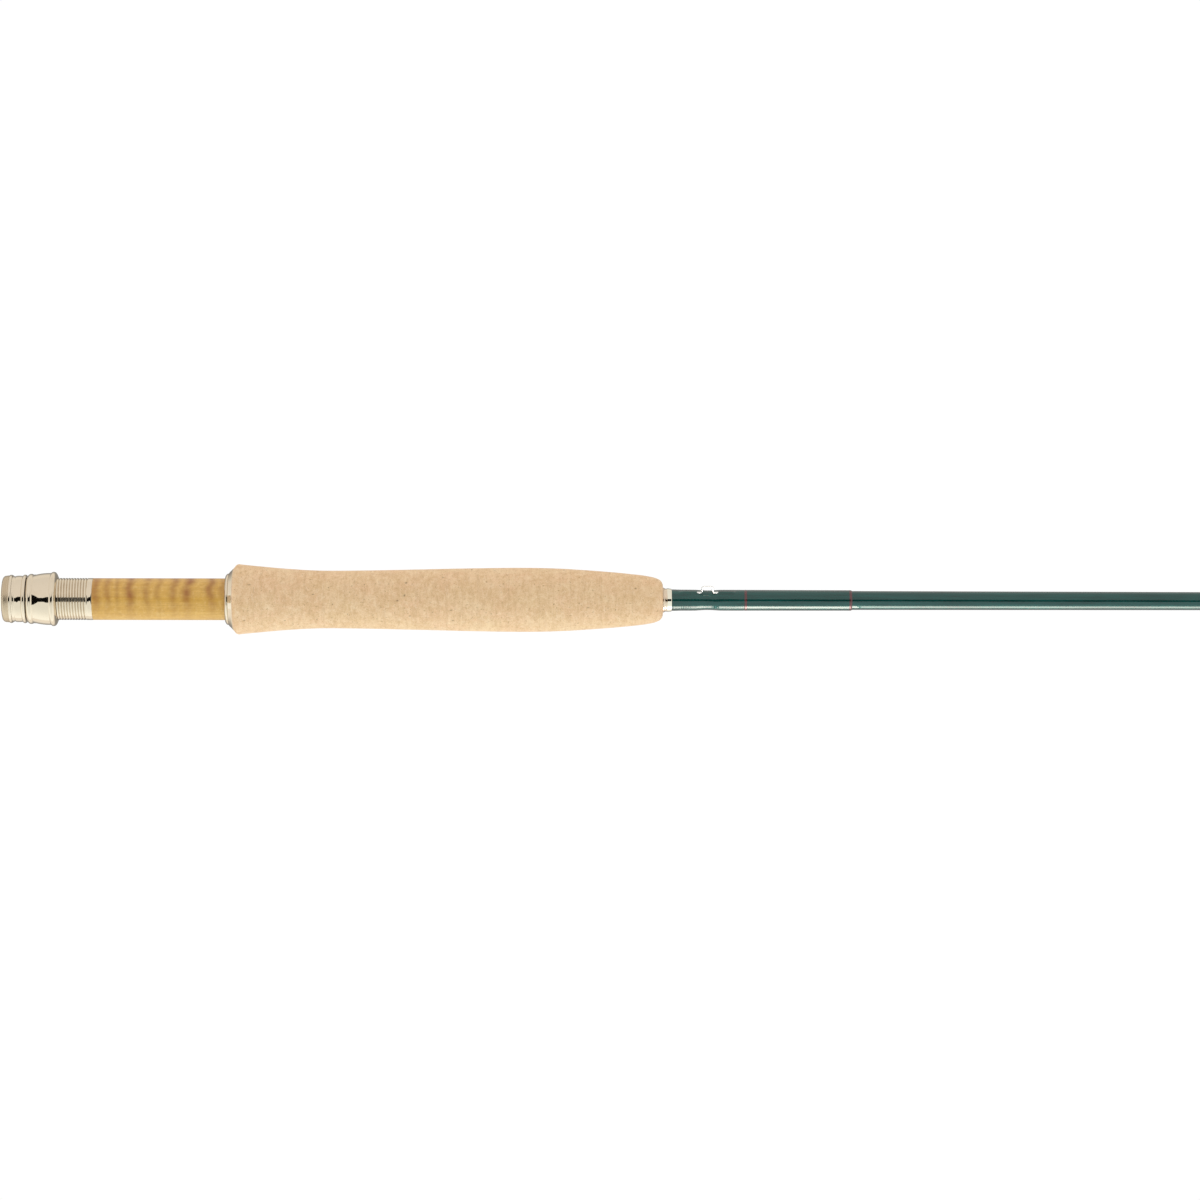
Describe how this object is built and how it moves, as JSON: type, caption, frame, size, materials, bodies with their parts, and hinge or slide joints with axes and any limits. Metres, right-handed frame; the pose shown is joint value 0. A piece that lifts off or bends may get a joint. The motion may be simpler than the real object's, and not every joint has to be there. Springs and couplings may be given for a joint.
{
  "type": "fly rod",
  "caption": "Three-piece fly rod with an up-locking metal and wood reel seat, turned cork grip, glossy green tapered blank, hook keeper and wrapped line guides.",
  "frame": {"origin": "centre of the butt cap's flat end face", "axes": "+X along the rod to the tip; -Z is the side of the reel and the line guides; +Z is the plain side"},
  "size_m": [2.4379, 0.029, 0.0322],
  "materials": {
    "nickel_silver": "polished",
    "seat_wood": "gloss",
    "cork": "matte",
    "blank_green": "gloss",
    "wrap_green": "gloss",
    "trim_red": "gloss",
    "clear_coat": "gloss",
    "arbor_graphite": "matte",
    "guide_wire": "polished",
    "guide_ceramic": "gloss"
  },
  "bodies": {
    "rod_butt": {"butt_cap": "nickel_silver", "thread_barrel": "nickel_silver", "seat_insert": "seat_wood", "fixed_hood": "nickel_silver", "seat_arbor_rear": "arbor_graphite", "seat_arbor_front": "arbor_graphite", "cork_ring_01": "cork", "cork_ring_02": "cork", "cork_ring_03": "cork", "cork_ring_04": "cork", "cork_ring_05": "cork", "cork_ring_06": "cork", "cork_ring_07": "cork", "cork_ring_08": "cork", "cork_ring_09": "cork", "cork_ring_10": "cork", "cork_ring_11": "cork", "cork_ring_12": "cork", "cork_ring_13": "cork", "cork_ring_14": "cork", "winding_check": "nickel_silver", "butt_blank": "blank_green", "hook_keeper": "guide_wire", "keeper_wrap_rear": "wrap_green", "keeper_wrap_front": "wrap_green", "inscription_coat": "clear_coat", "trim_bands": "trim_red", "stripping_frame": "guide_wire", "stripping_ring": "guide_ceramic", "stripping_wraps": "wrap_green"},
    "hood": {"sliding_hood": "nickel_silver"},
    "nut": {"lock_nut": "nickel_silver"},
    "mid_section": {"mid_blank": "blank_green", "ferrule_wrap_mid": "wrap_green", "snake_guide_1": "guide_wire", "snake_guide_2": "guide_wire", "snake_guide_3": "guide_wire", "snake_wraps_1": "wrap_green", "snake_wraps_2": "wrap_green", "snake_wraps_3": "wrap_green"},
    "tip_section": {"tip_blank": "blank_green", "ferrule_wrap_tip": "wrap_green", "snake_guide_4": "guide_wire", "snake_guide_5": "guide_wire", "snake_guide_6": "guide_wire", "snake_guide_7": "guide_wire", "snake_guide_8": "guide_wire", "snake_wraps_4": "wrap_green", "snake_wraps_5": "wrap_green", "snake_wraps_6": "wrap_green", "snake_wraps_7": "wrap_green", "snake_wraps_8": "wrap_green", "tip_top_tube": "guide_wire", "tip_top_ring": "guide_wire", "tip_top_wrap": "wrap_green"}
  },
  "joints": [
    {"name": "hood_slide", "type": "slide", "parent": "rod_butt", "child": "hood", "axis": [1, 0, 0], "range_m": [0, 0.02645]},
    {"name": "nut_turn", "type": "hinge", "parent": "hood", "child": "nut", "pos_m": [0.0068, 0, 0], "axis": [1, 0, 0], "range_deg": [0, 8281]},
    {"name": "mid_ferrule", "type": "slide", "parent": "rod_butt", "child": "mid_section", "axis": [1, 0, 0], "range_m": [0, 0.065]},
    {"name": "tip_ferrule", "type": "slide", "parent": "mid_section", "child": "tip_section", "axis": [1, 0, 0], "range_m": [0, 0.065]}
  ],
  "couplings": [
    {"joint": "nut_turn", "follows": "hood_slide", "rad_per_m": 5463.6}
  ]
}
